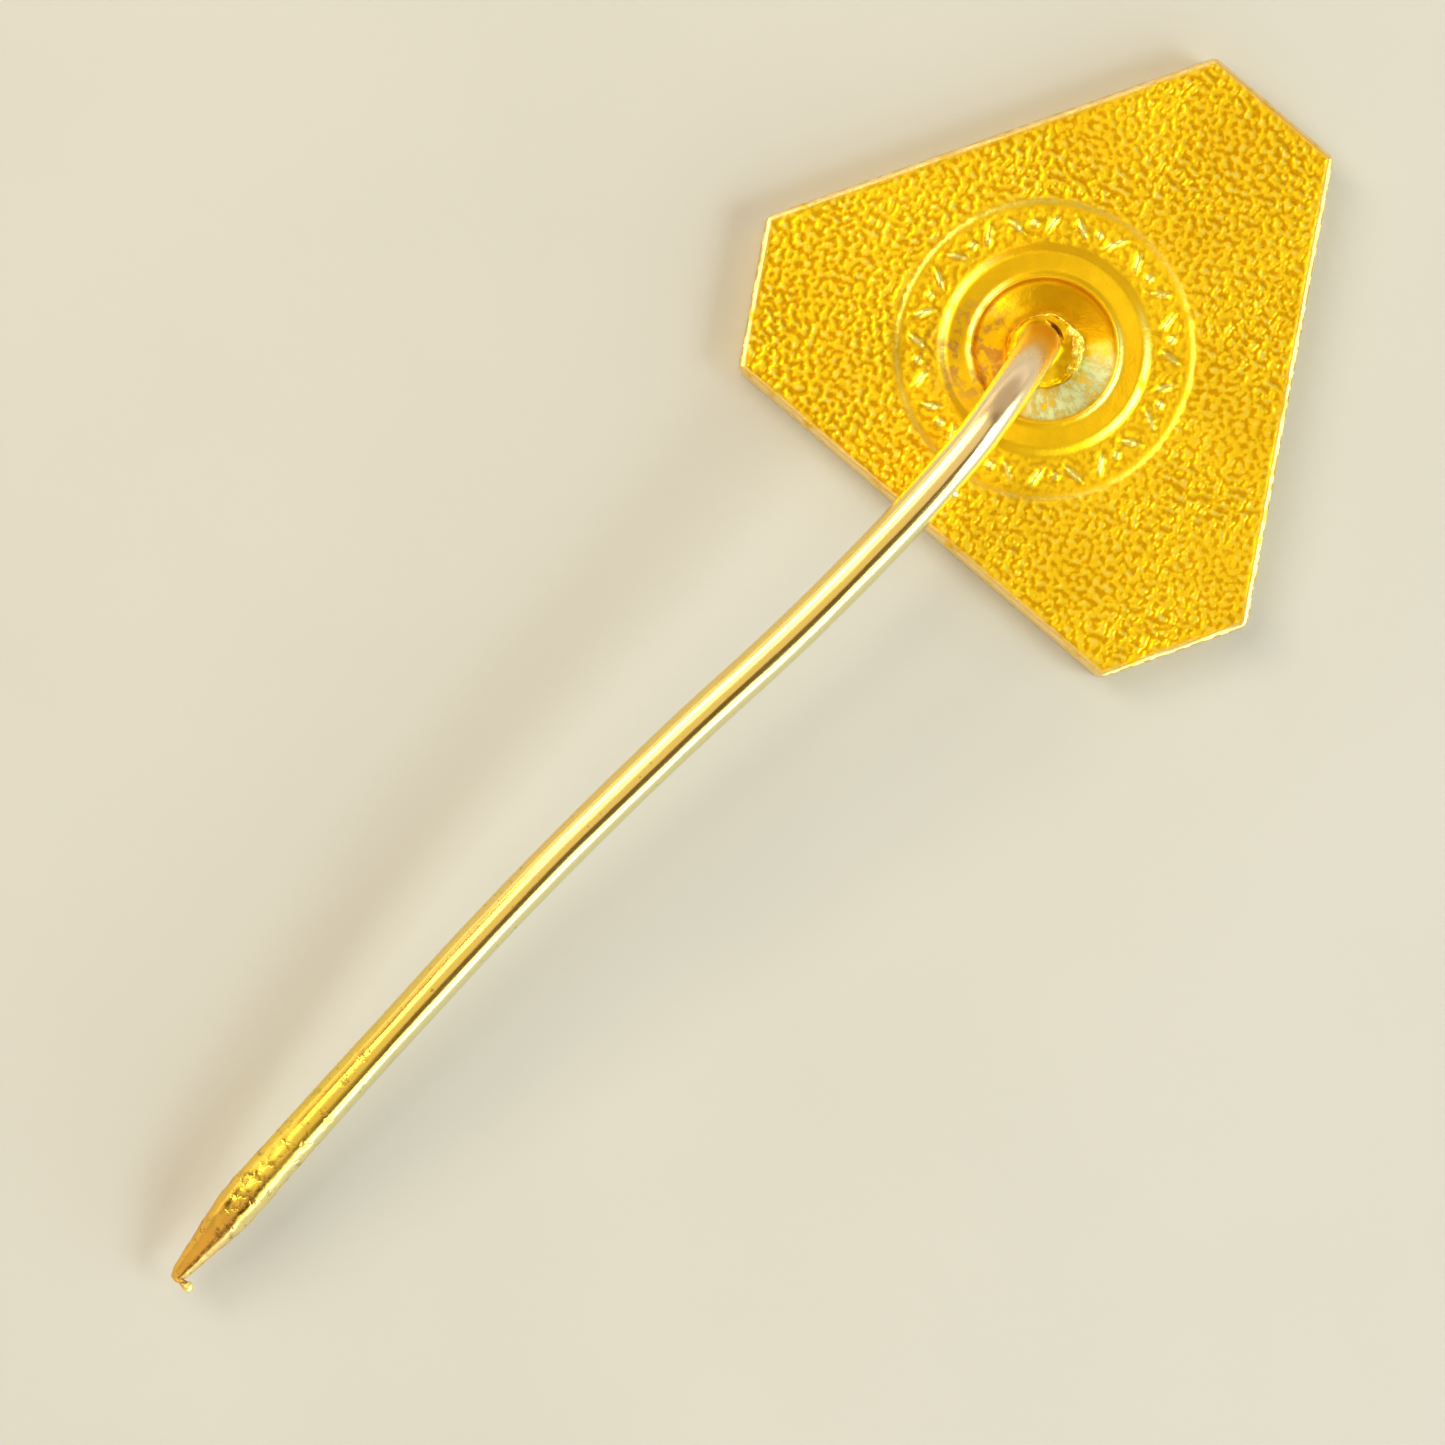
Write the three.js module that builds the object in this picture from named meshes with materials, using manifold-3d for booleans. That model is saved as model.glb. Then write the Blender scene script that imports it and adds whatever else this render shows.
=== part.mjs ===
// Lapel stick pin: a struck brass badge with an enamelled front and a bent needle soldered to its back.
// Millimetres. The badge lies face down: its front is at z = 0 and +Z points out of its back.
// -Y is the way the needle runs, which is down when the pin is worn. The origin is the middle of the front.
import * as THREE from 'three';
import { mergeVertices } from 'three/addons/utils/BufferGeometryUtils.js';
import Module from 'manifold-3d';

// Badge outline: a triangle with its corners cut off
const LONG_APOTHEM = 6.83;
const SHORT_APOTHEM = 9.63;
const CORNER_RADIUS = 0.35;
const THICKNESS = 1.2;
const EDGE_BEVEL = 0.08;
const EDGE_BEVEL_STEPS = 2;

// Struck hub on the back, a little off the middle of the badge
const HUB_X = -0.53;
const HUB_Y = -0.43;
const BAND_RADIUS = 4.5;
const BAND_DEPTH = 0.12;
const RING_OUTER_RADIUS = 3.1;
const RING_INNER_RADIUS = 2.28;
const RING_RISE = 0.1;
const RING_SHOULDER = 0.2;
const SHOULDER_STEPS = 3;
const DISH_WALL_RADIUS = 2.05;
const DISH_WALL_DEPTH = 0.28;
const DISH_FLOOR_RADIUS = 1.14;
const DISH_FLOOR_DEPTH = 0.55;
const HUB_SEGMENTS = 64;

// Garland of raised marks in the band round the hub
const GARLAND_UNITS = 12;
const GARLAND_RADIUS = 3.82;
const GARLAND_RISE = 0.1;
const LEAF_LENGTH = 0.86;
const LEAF_WIDTH = 0.26;
const LEAF_LEAN = 0.6;
const LEAF_SPREAD = 0.115;
const PIP_RADIUS = 0.14;
const MARK_SEGMENTS = 5;

// Front: metal rim, walls and medallion, with cells for the enamel between them
const RIM_WIDTH = 0.75;
const CELL_CORNER_RADIUS = 0.2;
const WALL_WIDTH = 0.36;
const CELL_DEPTH = 0.35;
const FRONT_RING_RADIUS = 4.3;
const ENAMEL_RING_OUTER_RADIUS = 3.94;
const MEDALLION_RADIUS = 2.4;
const ENAMEL_DROP = 0.04;
const FRONT_SEGMENTS = 60;
const CORNER_SEGMENTS = 3;

// Needle: round wire that leaves the dish, bends over and runs past the edge of the badge
const WIRE_RADIUS = 0.6;
const WIRE_SEGMENTS = 7;
const WIRE_STEPS = 76;
const ROOT_X = -0.78;
const ROOT_Y = -0.4;
const BEND_START_Z = 0.95;
const BEND_RADIUS = 4.0;
const BEND_STEPS = 6;
const HEADING_START = THREE.MathUtils.degToRad(10);
const HEADING_END = THREE.MathUtils.degToRad(6);
const NEEDLE_RUN = [
  [-0.40, -7.1, 4.86],
  [-0.70, -11.5, 4.46],
  [-1.30, -16.6, 3.92],
  [-1.82, -22.5, 3.24],
  [-2.08, -28.5, 2.50],
  [-2.24, -34.0, 1.77],
  [-2.28, -38.6, 1.12],
];
const POINT_LENGTH = 3.4;
const POINT_TIP_RADIUS = 0.13;

// Solder round the root of the needle
const SOLDER_FOOT_RISE = 0.12;
const SOLDER_SHOULDER_RADIUS = 0.87;
const SOLDER_SHOULDER_RISE = 0.24;
const SOLDER_NECK_RADIUS = 0.7;
const SOLDER_NECK_RISE = 0.34;
const SOLDER_SEGMENTS = 32;

// Room left between touching pieces
const GAP = 0.02;

// Surplus length of a cutting solid past the face that it opens
const CUT_PAST = 0.5;

// Corners of two triangles closer than this are one corner
const MERGE_DISTANCE = 1e-5;

// The outline's edges, counted from the bottom one towards the right
const EDGE_COUNT = 6;
const EDGE_TURN = Math.PI / 3;
const FIRST_EDGE_ANGLE = -Math.PI / 2;

const wasm = await Module();
wasm.setup();

// Finishes
const giltBrass = () => new THREE.MeshStandardMaterial({ color: 0xe3a91d, roughness: 0.34, metalness: 1 });
const giltWire = () => new THREE.MeshStandardMaterial({ color: 0xdcb455, roughness: 0.2, metalness: 1 });
const giltSolder = () => new THREE.MeshStandardMaterial({ color: 0xd9a020, roughness: 0.42, metalness: 1 });
const enamel = (color) => new THREE.MeshStandardMaterial({ color, roughness: 0.12, metalness: 0 });
const BLUE = 0x14306e;
const WHITE = 0xece8dc;
const RED = 0x8e1420;

// Turns a closed three.js geometry into a solid for joining and cutting
function solidFrom(geometry) {
  geometry.deleteAttribute('normal');
  geometry.deleteAttribute('uv');
  const merged = mergeVertices(geometry, MERGE_DISTANCE);
  const mesh = new wasm.Mesh({
    numProp: 3,
    vertProperties: new Float32Array(merged.attributes.position.array),
    triVerts: new Uint32Array(merged.index.array),
  });
  return new wasm.Manifold(mesh);
}

// Turns a joined or cut solid back into a three.js geometry
function geometryFrom(solid) {
  const mesh = solid.getMesh();
  const geometry = new THREE.BufferGeometry();
  geometry.setAttribute('position', new THREE.BufferAttribute(mesh.vertProperties, mesh.numProp));
  geometry.setIndex(new THREE.BufferAttribute(mesh.triVerts, 1));
  geometry.computeVertexNormals();
  return geometry;
}

// Corners of the badge outline, moved in by the given distance
function outlineCorners(inset) {
  const corners = [];
  for (let edge = 0; edge < EDGE_COUNT; edge += 1) {
    const apothems = [LONG_APOTHEM - inset, SHORT_APOTHEM - inset];
    const near = apothems[edge % 2];
    const next = apothems[(edge + 1) % 2];
    const angle = FIRST_EDGE_ANGLE + edge * EDGE_TURN;
    const nearShare = (near - next * Math.cos(EDGE_TURN)) / Math.sin(EDGE_TURN) ** 2;
    const nextShare = (next - near * Math.cos(EDGE_TURN)) / Math.sin(EDGE_TURN) ** 2;
    const x = nearShare * Math.cos(angle) + nextShare * Math.cos(angle + EDGE_TURN);
    const y = nearShare * Math.sin(angle) + nextShare * Math.sin(angle + EDGE_TURN);
    corners.push(new THREE.Vector2(x, y));
  }
  return corners;
}

// The badge outline with rounded corners, moved in by the given distance
function outlineShape(inset, radius) {
  const shape = new THREE.Shape();
  outlineCorners(inset + radius).forEach((center, edge) => {
    const angle = FIRST_EDGE_ANGLE + edge * EDGE_TURN;
    shape.absarc(center.x, center.y, radius, angle, angle + EDGE_TURN, false);
  });
  shape.closePath();
  return shape;
}

// An upright prism between two heights
function prism(shape, bottom, top) {
  const geometry = new THREE.ExtrudeGeometry(shape, {
    depth: top - bottom,
    bevelEnabled: false,
    curveSegments: CORNER_SEGMENTS,
  });
  geometry.translate(0, 0, bottom);
  return solidFrom(geometry);
}

// An upright disc between two heights
function disc(radius, bottom, top, segments) {
  const geometry = new THREE.CylinderGeometry(radius, radius, top - bottom, segments);
  geometry.rotateX(Math.PI / 2);
  geometry.translate(0, 0, (top + bottom) / 2);
  return solidFrom(geometry);
}

// A turned solid about Z from [radius, height] pairs that start and end on the axis or close on themselves
function turned(profile, segments) {
  const points = profile.map(([radius, height]) => new THREE.Vector2(radius, height));
  const geometry = new THREE.LatheGeometry(points, segments);
  geometry.rotateX(Math.PI / 2);
  return geometry;
}

// The blank: the outline at full thickness with softened edges
function badgeBlank() {
  const geometry = new THREE.ExtrudeGeometry(outlineShape(EDGE_BEVEL, CORNER_RADIUS - EDGE_BEVEL), {
    depth: THICKNESS - 2 * EDGE_BEVEL,
    bevelSize: EDGE_BEVEL,
    bevelThickness: EDGE_BEVEL,
    bevelSegments: EDGE_BEVEL_STEPS,
    curveSegments: CORNER_SEGMENTS,
  });
  geometry.translate(0, 0, EDGE_BEVEL);
  return solidFrom(geometry);
}

// Points of a shoulder's quarter round from one angle on, as [radius, height] pairs
function shoulder(centerRadius, fromAngle) {
  const centerHeight = THICKNESS + RING_RISE - RING_SHOULDER;
  const points = [];
  for (let step = 0; step <= SHOULDER_STEPS; step += 1) {
    const angle = fromAngle + (step / SHOULDER_STEPS) * (Math.PI / 2);
    const radius = centerRadius + RING_SHOULDER * Math.cos(angle);
    points.push([radius, centerHeight + RING_SHOULDER * Math.sin(angle)]);
  }
  return points;
}

// The raised ring and the dish inside it, as one turned boss
function hubBoss() {
  const base = THICKNESS - DISH_FLOOR_DEPTH - BAND_DEPTH;
  const geometry = turned([
    [0, base],
    [RING_OUTER_RADIUS, base],
    ...shoulder(RING_OUTER_RADIUS - RING_SHOULDER, 0),
    ...shoulder(RING_INNER_RADIUS + RING_SHOULDER, Math.PI / 2),
    [DISH_WALL_RADIUS, THICKNESS - DISH_WALL_DEPTH],
    [DISH_FLOOR_RADIUS, THICKNESS - DISH_FLOOR_DEPTH],
    [0, THICKNESS - DISH_FLOOR_DEPTH],
  ], HUB_SEGMENTS);
  geometry.translate(HUB_X, HUB_Y, 0);
  return solidFrom(geometry);
}

// One raised leaf of the garland: a pointed oval lying across the band
function leaf(angle, lean) {
  const shape = new THREE.Shape();
  shape.absellipse(0, 0, LEAF_LENGTH / 2, LEAF_WIDTH / 2, 0, 2 * Math.PI, false, 0);
  return placedMark(shape, angle, lean);
}

// One raised pip of the garland
function pip(angle) {
  const shape = new THREE.Shape();
  shape.absarc(0, 0, PIP_RADIUS, 0, 2 * Math.PI, false);
  return placedMark(shape, angle, 0);
}

// Stands a mark on the floor of the band at an angle round the hub, leaning from the radial line
function placedMark(shape, angle, lean) {
  const geometry = new THREE.ExtrudeGeometry(shape, {
    depth: BAND_DEPTH + GARLAND_RISE,
    bevelEnabled: false,
    curveSegments: MARK_SEGMENTS,
  });
  geometry.rotateZ(lean);
  geometry.translate(GARLAND_RADIUS, 0, THICKNESS - 2 * BAND_DEPTH);
  geometry.rotateZ(angle);
  geometry.translate(HUB_X, HUB_Y, 0);
  return solidFrom(geometry);
}

// One side cell of the front, between two walls, the rim and the front ring, shrunk by a margin
function sideCell(edge, margin, bottom, top) {
  const corners = outlineCorners(0);
  const from = corners[(edge + EDGE_COUNT - 1) % EDGE_COUNT].clone().normalize();
  const to = corners[edge].clone().normalize();
  const spread = Math.asin(from.cross(to));
  const apex = from.clone().add(to).multiplyScalar((WALL_WIDTH / 2 + margin) / Math.sin(spread));
  const reach = 2 * SHORT_APOTHEM;
  const wedge = new THREE.Shape([
    apex,
    apex.clone().addScaledVector(from, reach),
    apex.clone().addScaledVector(to, reach),
  ]);
  return prism(outlineShape(RIM_WIDTH + margin, CELL_CORNER_RADIUS), bottom, top)
    .intersect(prism(wedge, bottom, top))
    .subtract(disc(FRONT_RING_RADIUS + margin, bottom - CUT_PAST, top + CUT_PAST, FRONT_SEGMENTS));
}

// The ring-shaped cell round the medallion, shrunk by a margin
function ringCell(margin, bottom, top) {
  return disc(ENAMEL_RING_OUTER_RADIUS - margin, bottom, top, FRONT_SEGMENTS)
    .subtract(disc(MEDALLION_RADIUS + margin, bottom - CUT_PAST, top + CUT_PAST, FRONT_SEGMENTS));
}

// A cut of the given radius and depth into the back, round the middle of the hub
function hubCut(radius, depth) {
  return disc(radius, THICKNESS - depth, THICKNESS + CUT_PAST, HUB_SEGMENTS).translate([HUB_X, HUB_Y, 0]);
}

// Struck badge: blank, sunk band, boss, garland and the cells of the front
function badgePlate() {
  let solid = badgeBlank()
    .subtract(hubCut(BAND_RADIUS, BAND_DEPTH))
    .subtract(hubCut(RING_INNER_RADIUS + RING_SHOULDER, DISH_FLOOR_DEPTH))
    .add(hubBoss());
  for (let unit = 0; unit < GARLAND_UNITS; unit += 1) {
    const angle = (unit * 2 * Math.PI) / GARLAND_UNITS;
    solid = solid.add(leaf(angle - LEAF_SPREAD, LEAF_LEAN));
    solid = solid.add(leaf(angle + LEAF_SPREAD, -LEAF_LEAN));
    solid = solid.add(pip(angle + Math.PI / GARLAND_UNITS));
  }
  for (let edge = 0; edge < EDGE_COUNT; edge += 1) {
    solid = solid.subtract(sideCell(edge, 0, -CUT_PAST, CELL_DEPTH));
  }
  solid = solid.subtract(ringCell(0, -CUT_PAST, CELL_DEPTH));
  return geometryFrom(solid);
}

// Centre line of the needle: straight out of the dish, over the bend and down its long run
function needlePath() {
  const points = [new THREE.Vector3(ROOT_X, ROOT_Y, THICKNESS - DISH_FLOOR_DEPTH + GAP)];
  for (let step = 0; step <= BEND_STEPS; step += 1) {
    const share = step / BEND_STEPS;
    const turn = (share * Math.PI) / 2;
    const heading = THREE.MathUtils.lerp(HEADING_START, HEADING_END, share);
    const reach = BEND_RADIUS * (1 - Math.cos(turn));
    points.push(new THREE.Vector3(
      ROOT_X + reach * Math.sin(heading),
      ROOT_Y - reach * Math.cos(heading),
      BEND_START_Z + BEND_RADIUS * Math.sin(turn),
    ));
  }
  for (const point of NEEDLE_RUN) {
    points.push(new THREE.Vector3(...point));
  }
  return new THREE.CatmullRomCurve3(points, false, 'centripetal');
}

// Pulls the last rings of the wire in towards its centre line to make the ground point
function grindPoint(geometry, path) {
  const centers = path.getSpacedPoints(WIRE_STEPS);
  const wireLength = path.getLength();
  const position = geometry.attributes.position;
  const vertex = new THREE.Vector3();
  for (let index = 0; index < position.count; index += 1) {
    vertex.fromBufferAttribute(position, index);
    let nearest = 0;
    for (let step = 1; step <= WIRE_STEPS; step += 1) {
      if (vertex.distanceTo(centers[step]) < vertex.distanceTo(centers[nearest])) nearest = step;
    }
    const toTip = wireLength * (1 - nearest / WIRE_STEPS);
    const share = Math.min(toTip / POINT_LENGTH, 1);
    const radius = THREE.MathUtils.lerp(POINT_TIP_RADIUS, WIRE_RADIUS, Math.sin((share * Math.PI) / 2));
    vertex.sub(centers[nearest]).multiplyScalar(radius / WIRE_RADIUS).add(centers[nearest]);
    position.setXYZ(index, vertex.x, vertex.y, vertex.z);
  }
}

// Bent needle with a ground point
function needle() {
  const section = new THREE.Shape();
  section.absarc(0, 0, WIRE_RADIUS, 0, 2 * Math.PI, false);
  const path = needlePath();
  const geometry = new THREE.ExtrudeGeometry(section, {
    steps: WIRE_STEPS,
    curveSegments: WIRE_SEGMENTS,
    extrudePath: path,
  });
  grindPoint(geometry, path);
  geometry.computeVertexNormals();
  return geometry;
}

// Solder that fills the bottom of the dish round the root of the needle, with a hole for the wire
function solderFillet() {
  const floor = THICKNESS - DISH_FLOOR_DEPTH + GAP;
  const geometry = turned([
    [0, floor],
    [DISH_FLOOR_RADIUS - GAP, floor],
    [DISH_FLOOR_RADIUS - GAP, floor + SOLDER_FOOT_RISE],
    [SOLDER_SHOULDER_RADIUS, floor + SOLDER_SHOULDER_RISE],
    [SOLDER_NECK_RADIUS, floor + SOLDER_NECK_RISE],
    [0, floor + SOLDER_NECK_RISE],
  ], SOLDER_SEGMENTS);
  geometry.translate(HUB_X, HUB_Y, 0);
  const wireHole = disc(WIRE_RADIUS + 2 * GAP, floor - CUT_PAST, floor + CUT_PAST, SOLDER_SEGMENTS);
  return geometryFrom(solidFrom(geometry).subtract(wireHole.translate([ROOT_X, ROOT_Y, 0])));
}

const group = new THREE.Group();

function addPiece(name, geometry, material) {
  const mesh = new THREE.Mesh(geometry, material);
  mesh.name = name;
  group.add(mesh);
}

addPiece('badge_plate', badgePlate(), giltBrass());
addPiece('needle', needle(), giltWire());
addPiece('solder_fillet', solderFillet(), giltSolder());

const cellNames = ['bottom_panel', 'right_corner', 'right_panel', 'top_corner', 'left_panel', 'left_corner'];
cellNames.forEach((name, edge) => {
  const fill = sideCell(edge, GAP, ENAMEL_DROP, CELL_DEPTH - GAP);
  addPiece(`enamel_${name}`, geometryFrom(fill), enamel(edge % 2 === 0 ? BLUE : WHITE));
});
addPiece('enamel_ring', geometryFrom(ringCell(GAP, ENAMEL_DROP, CELL_DEPTH - GAP)), enamel(RED));

export default group;
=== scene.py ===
import math

import bpy
import numpy as np
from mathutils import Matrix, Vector
from mathutils.geometry import delaunay_2d_cdt


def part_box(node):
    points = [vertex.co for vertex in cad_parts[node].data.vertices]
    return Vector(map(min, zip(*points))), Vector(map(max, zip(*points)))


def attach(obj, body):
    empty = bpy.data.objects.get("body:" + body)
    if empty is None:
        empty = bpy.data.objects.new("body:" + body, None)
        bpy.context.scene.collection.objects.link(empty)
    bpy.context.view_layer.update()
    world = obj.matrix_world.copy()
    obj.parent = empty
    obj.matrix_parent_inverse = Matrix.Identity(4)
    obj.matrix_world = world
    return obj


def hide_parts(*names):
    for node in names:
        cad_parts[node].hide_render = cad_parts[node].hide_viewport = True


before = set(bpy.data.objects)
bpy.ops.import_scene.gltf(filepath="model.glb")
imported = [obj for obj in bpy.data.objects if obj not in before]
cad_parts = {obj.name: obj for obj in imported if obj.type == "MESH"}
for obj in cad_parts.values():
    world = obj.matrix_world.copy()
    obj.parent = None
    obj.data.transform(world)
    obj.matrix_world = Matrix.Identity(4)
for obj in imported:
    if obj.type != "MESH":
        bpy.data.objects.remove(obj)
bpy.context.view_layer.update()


# ---------------------------------------------------------------------------------------------
# Badge plate. Brass blank struck between two dies and trimmed to a triangle with cut corners, then
# gilded. The back takes the die's wrinkled grain, a round hub with a dish for the needle, and a
# garland; the front takes a rim, thin walls and a flat medallion, with sunk cells between them.

MM = 0.001
plate_low, plate_high = [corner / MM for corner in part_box("badge_plate")]
solder_low, solder_high = [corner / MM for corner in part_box("solder_fillet")]

RING_RISE = 0.1
BACK = plate_high.z - RING_RISE
LONG_SIDE_OUT = -plate_low.y
SHORT_SIDE_OUT = plate_high.y
CORNER_ROUND = 0.35
EDGE_POINTS = 860
HUB = np.array([(solder_low.x + solder_high.x) / 2, (solder_low.y + solder_high.y) / 2])

# Turned profile of the hub from the middle outwards, as radius and height over the back
HUB_PROFILE = [
    (0.0, -0.43),
    (1.14, -0.43),
    (1.3, -0.39),
    (1.5, -0.31),
    (1.6, -0.29),
    (2.0, -0.14),
    (2.1, -0.05),
    (2.17, 0.09),
    (2.21, 0.12),
    (2.38, 0.055),
    (2.48, 0.06),
    (2.92, 0.095),
    (3.0, 0.075),
    (3.16, -0.03),
    (3.22, -0.06),
    (3.3, -0.07),
    (4.3, -0.07),
    (4.4, -0.055),
    (4.54, 0.0),
    (4.7, 0.0),
]
HUB_ROUNDING = 0.035
HUB_STEP = 0.005
BAND_OUT = 4.5

# Where the field's grain and the band's marks fade in or out, from the hub's middle or from the edge
FIELD_FROM_HUB = (4.45, 4.65)
FIELD_FROM_EDGE = (0.14, 0.34)
BAND_START = (3.2, 3.36)
BAND_END = (4.2, 4.4)

# Ripples, as length, number of waves and seed
GRAIN = (0.3, 64, 11)
FINE_GRAIN = (0.17, 48, 16)
PATCHES = (4.0, 10, 12)
CRUMPLE = (0.5, 24, 13)
SAG = (0.7, 14, 14)
BURR_SWELL = (2.2, 10, 15)
FINE_SHARE = 0.4
GRAIN_STEEPNESS = 1.9
GRAIN_HEIGHT = 0.016
CRUMPLE_HEIGHT = 0.006
SAG_HEIGHT = 0.0025

BURR_IN = 0.17
BURR_WIDTH = 0.06
BURR_RISE = 0.022
EDGE_ROLL = 0.075
EDGE_SHINE = (0.1, 0.24)

# Pale gold on high grain, the garland, the band's lip and the front: partly rubbed wear, partly painted
# sheen. The crown's two rings are pale only towards one heading and its opposite: painted highlight arcs.
RUBBED_SHEEN_GRAIN = (1.5, 2.1)
RUBBED_SHEEN_GARLAND = (0.3, 0.8)
HIGHLIGHT_RINGS = (3.09, 2.28)
HIGHLIGHT_RING_WIDTH = 0.08
RUBBED_SHEEN_LIP = 4.47
HIGHLIGHT_HEADING = math.radians(200)

GARLAND_UNITS = 12
GARLAND_RADIUS = 3.82
GARLAND_RISE = 0.095
LEAF_HALF_LENGTH = 0.46
LEAF_HALF_WIDTH = 0.13
LEAF_LEAN = 0.6
LEAF_SPREAD = 0.115
LEAF_EDGE = (0.25, 1.2)
PIP_RADIUS = 0.16
PIP_EDGE = (0.45, 1.15)


def smooth_step(low, high, value):
    share = np.clip((value - low) / (high - low), 0, 1)
    return share * share * (3 - 2 * share)


def waves(x, y, length, count, seed):
    """Wandering ridges of one width: plane waves of about one length, in all directions."""
    draw = np.random.default_rng(seed)
    total = np.zeros_like(x)
    for _ in range(count):
        angle = draw.uniform(0, 2 * math.pi)
        phase = draw.uniform(0, 2 * math.pi)
        pull = 2 * math.pi / (length * draw.uniform(0.62, 1.5))
        total += np.cos(pull * (x * math.cos(angle) + y * math.sin(angle)) + phase)
    return total / math.sqrt(count / 2)


def side_angle(side):
    return -math.pi / 2 + side * math.pi / 3


def side_distance(side):
    return LONG_SIDE_OUT if side % 2 == 0 else SHORT_SIDE_OUT


def corner_at(side, inset):
    """Where a side meets the next one, both moved in."""
    first, second = side_distance(side) - inset, side_distance(side + 1) - inset
    turn = math.pi / 3
    first_share = (first - second * math.cos(turn)) / math.sin(turn) ** 2
    second_share = (second - first * math.cos(turn)) / math.sin(turn) ** 2
    angle = side_angle(side)
    return np.array([
        first_share * math.cos(angle) + second_share * math.cos(angle + turn),
        first_share * math.sin(angle) + second_share * math.sin(angle + turn),
    ])


def rounded_outline(inset, rounding, count):
    """Points evenly spaced along the outline with rounded corners, and their outward normals."""
    points, normals = [], []
    for side in range(6):
        middle = corner_at(side, inset + rounding)
        for angle in np.linspace(side_angle(side), side_angle(side + 1), 13):
            normal = np.array([math.cos(angle), math.sin(angle)])
            points.append(middle + rounding * normal)
            normals.append(normal)
    points = np.array(points + points[:1])
    normals = np.array(normals + normals[:1])
    along = np.concatenate([[0], np.cumsum(np.linalg.norm(np.diff(points, axis=0), axis=1))])
    places = np.linspace(0, along[-1], count, endpoint=False)
    even = np.column_stack([np.interp(places, along, points[:, axis]) for axis in range(2)])
    out = np.column_stack([np.interp(places, along, normals[:, axis]) for axis in range(2)])
    return even, out / np.linalg.norm(out, axis=1)[:, None]


def edge_depth(x, y):
    """How far inside the outline a point lies."""
    return np.min([
        side_distance(side) - x * math.cos(side_angle(side)) - y * math.sin(side_angle(side))
        for side in range(6)
    ], axis=0)


def hub_height(radius):
    """Height over the back of the hub's profile, with its corners rounded."""
    fine = np.arange(0, 5, HUB_STEP)
    sharp = np.interp(fine, *zip(*HUB_PROFILE))
    width = int(HUB_ROUNDING / HUB_STEP)
    window = np.ones(2 * width + 1) / (2 * width + 1)
    return np.interp(radius, fine, np.convolve(np.pad(sharp, width, mode="edge"), window, "valid"))


def garland_height(x, y):
    """Raised leaves in leaning pairs with a pip between the pairs, all round the band."""
    angle = np.arctan2(y - HUB[1], x - HUB[0])
    radius = np.hypot(x - HUB[0], y - HUB[1])
    unit = 2 * math.pi / GARLAND_UNITS
    within = (angle + unit / 2) % unit - unit / 2
    raised = np.zeros_like(x)
    for spread, lean in ((-LEAF_SPREAD, LEAF_LEAN), (LEAF_SPREAD, -LEAF_LEAN)):
        out = radius * np.cos(within - spread) - GARLAND_RADIUS
        across = radius * np.sin(within - spread)
        long = out * math.cos(lean) + across * math.sin(lean)
        wide = across * math.cos(lean) - out * math.sin(lean)
        reach = np.sqrt((long / LEAF_HALF_LENGTH) ** 2 + (wide / LEAF_HALF_WIDTH) ** 2)
        raised = np.maximum(raised, 1 - smooth_step(*LEAF_EDGE, reach))
    between = (angle + unit) % unit - unit / 2
    reach = np.hypot(radius * np.cos(between) - GARLAND_RADIUS, radius * np.sin(between)) / PIP_RADIUS
    return GARLAND_RISE * np.maximum(raised, 1 - smooth_step(*PIP_EDGE, reach))


def near(value, middle, width):
    """1 at the middle, falling away on both sides."""
    return np.exp(-((value - middle) / width) ** 2)


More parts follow.
